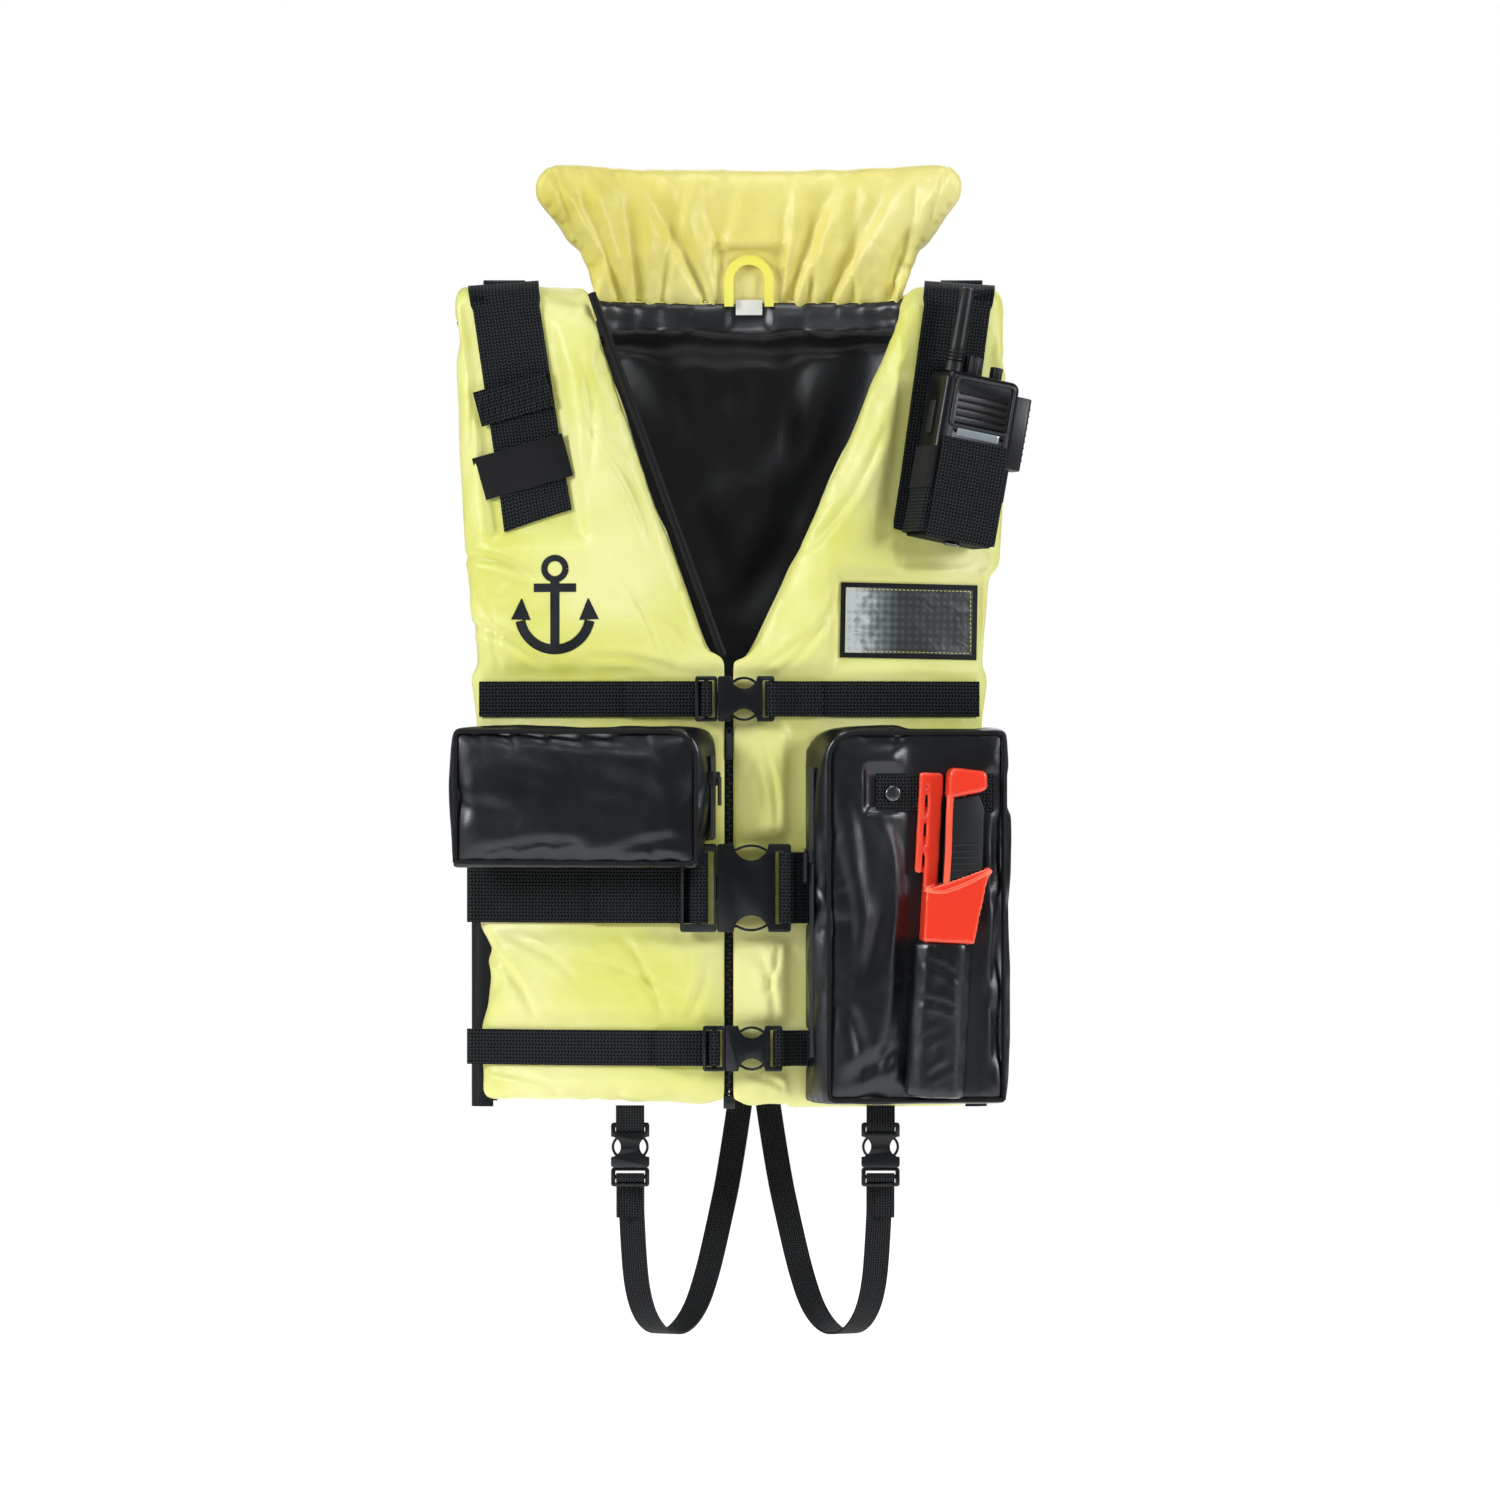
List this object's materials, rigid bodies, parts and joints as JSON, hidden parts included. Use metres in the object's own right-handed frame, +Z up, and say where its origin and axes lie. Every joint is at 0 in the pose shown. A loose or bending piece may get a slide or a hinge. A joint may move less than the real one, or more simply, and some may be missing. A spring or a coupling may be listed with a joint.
{
  "type": "buoyancy work vest",
  "caption": "Foam-filled hi-vis buoyancy vest with padded collar, zip front, side-release belts, crotch straps, bellows pockets, sheath knife and a handheld radio in a shoulder sling.",
  "frame": {"origin": "middle of the crown of the hanging loop at the back of the neck", "axes": "+Z up, +X to the wearer's left, the front of the vest faces -Y"},
  "size_m": [0.4109, 0.2322, 0.8401],
  "materials": {
    "hi_vis_fabric": "bright yellow woven shell fabric",
    "foam": "closed-cell foam",
    "lining_fabric": "black satin lining",
    "black_fabric": "coated black pack cloth",
    "webbing": "black ribbed webbing",
    "yellow_webbing": "yellow tape",
    "label": "white woven label",
    "black_plastic": "satin black acetal",
    "radio_plastic": "textured black",
    "zip_metal": "black enamelled",
    "snap_metal": "blackened snap",
    "reflective": "grey reflective film",
    "sheath_plastic": "orange-red moulded",
    "grip_rubber": "moulded grip",
    "blade_steel": "ground steel"
  },
  "bodies": {
    "vest": {"right_front_cover": "hi_vis_fabric", "right_front_foam": "foam", "left_front_cover": "hi_vis_fabric", "left_front_foam": "foam", "back_cover": "hi_vis_fabric", "back_foam": "foam", "lining": "lining_fabric", "side_panels": "black_fabric", "hang_loop": "yellow_webbing", "care_label": "label", "front_zip": "zip_metal", "front_zip_box": "black_plastic", "chest_belt_right": "webbing", "waist_belt_right": "webbing", "hem_belt_right": "webbing", "belts_left": "webbing", "belt_sockets": "black_plastic", "crotch_tabs": "webbing", "crotch_sockets": "black_plastic", "right_crotch_strap": "webbing", "left_crotch_strap": "webbing", "shoulder_webbing": "webbing", "right_shoulder_keeper": "webbing", "right_shoulder_band": "webbing", "shoulder_adjusters": "black_plastic", "radio_sling": "webbing", "radio_band": "webbing", "snap_studs": "snap_metal", "right_pocket_bag": "black_fabric", "left_pocket_bag": "black_fabric", "pocket_zips": "zip_metal", "sheath": "sheath_plastic", "sheath_strap": "webbing", "knife_sleeve": "black_fabric", "chest_window": "reflective"},
    "collar": {"collar_cover": "hi_vis_fabric", "collar_foam": "foam"},
    "zip_slider": {"front_zip_slider": "zip_metal"},
    "zip_puller": {"front_zip_puller": "zip_metal"},
    "chest_plug": {"chest_plug": "black_plastic", "chest_latch_arms": "black_plastic"},
    "waist_plug": {"waist_plug": "black_plastic", "waist_latch_arms": "black_plastic"},
    "hem_plug": {"hem_plug": "black_plastic", "hem_latch_arms": "black_plastic"},
    "right_crotch_plug": {"right_crotch_plug": "black_plastic", "right_crotch_latch_arms": "black_plastic"},
    "left_crotch_plug": {"left_crotch_plug": "black_plastic", "left_crotch_latch_arms": "black_plastic"},
    "right_pocket_slider": {"right_pocket_slider": "zip_metal"},
    "left_pocket_slider": {"left_pocket_slider": "zip_metal"},
    "knife": {"knife_blade": "blade_steel", "knife_grip": "grip_rubber", "knife_pommel": "sheath_plastic"},
    "radio": {"radio_body": "radio_plastic", "radio_antenna": "grip_rubber", "radio_side_adapter": "radio_plastic"},
    "volume_knob": {"radio_volume_knob": "radio_plastic"},
    "channel_knob": {"radio_channel_knob": "radio_plastic"},
    "talk_button": {"radio_talk_button": "grip_rubber"}
  },
  "joints": [
    {"name": "collar_fold", "type": "hinge", "parent": "vest", "child": "collar", "pos_m": [0, 0.026, -0.027], "axis": [1, 0, 0], "range_deg": [-110, 0]},
    {"name": "front_zip_run", "type": "slide", "parent": "vest", "child": "zip_slider", "axis": [0, 0, -1], "range_m": [0, 0.245]},
    {"name": "front_zip_puller_swing", "type": "hinge", "parent": "zip_slider", "child": "zip_puller", "pos_m": [-0.014, -0.1317, -0.3375], "axis": [1, 0, 0], "range_deg": [-75, 0]},
    {"name": "chest_release", "type": "slide", "parent": "vest", "child": "chest_plug", "axis": [-1, 0, 0], "range_m": [0, 0.0288], "deforming": ["chest_latch_arms", "chest_belt_right"]},
    {"name": "waist_release", "type": "slide", "parent": "vest", "child": "waist_plug", "axis": [-1, 0, 0], "range_m": [0, 0.0374], "deforming": ["waist_latch_arms", "waist_belt_right"]},
    {"name": "hem_release", "type": "slide", "parent": "vest", "child": "hem_plug", "axis": [-1, 0, 0], "range_m": [0, 0.0288], "deforming": ["hem_latch_arms", "hem_belt_right"]},
    {"name": "right_crotch_release", "type": "slide", "parent": "vest", "child": "right_crotch_plug", "axis": [0, 0, -1], "range_m": [0, 0.0227], "deforming": ["right_crotch_latch_arms", "right_crotch_strap"]},
    {"name": "left_crotch_release", "type": "slide", "parent": "vest", "child": "left_crotch_plug", "axis": [0, 0, -1], "range_m": [0, 0.0227], "deforming": ["left_crotch_latch_arms", "left_crotch_strap"]},
    {"name": "right_pocket_zip_run", "type": "slide", "parent": "vest", "child": "right_pocket_slider", "axis": [0, 0, -1], "range_m": [0, 0.026]},
    {"name": "left_pocket_zip_run", "type": "slide", "parent": "vest", "child": "left_pocket_slider", "axis": [0, 0, -1], "range_m": [0, 0.12]},
    {"name": "knife_draw", "type": "slide", "parent": "vest", "child": "knife", "axis": [0.0533, 0.0089, 0.9985], "range_m": [0, 0.13]},
    {"name": "radio_lift", "type": "slide", "parent": "vest", "child": "radio", "axis": [0.1713, 0.0622, 0.9833], "range_m": [0, 0.08]},
    {"name": "volume_turn", "type": "hinge", "parent": "radio", "child": "volume_knob", "pos_m": [0.15723, -0.12404, -0.08728], "axis": [0.1713, 0.0622, 0.9833], "range_deg": [0, 270]},
    {"name": "channel_turn", "type": "hinge", "parent": "radio", "child": "channel_knob", "pos_m": [0.17386, -0.118, -0.09056], "axis": [0.1713, 0.0622, 0.9833], "range_deg": [0, 330]},
    {"name": "talk_press", "type": "slide", "parent": "radio", "child": "talk_button", "axis": [0.9242, 0.3356, -0.1822], "range_m": [0, 0.0012], "stiffness_N_per_m": 400}
  ]
}
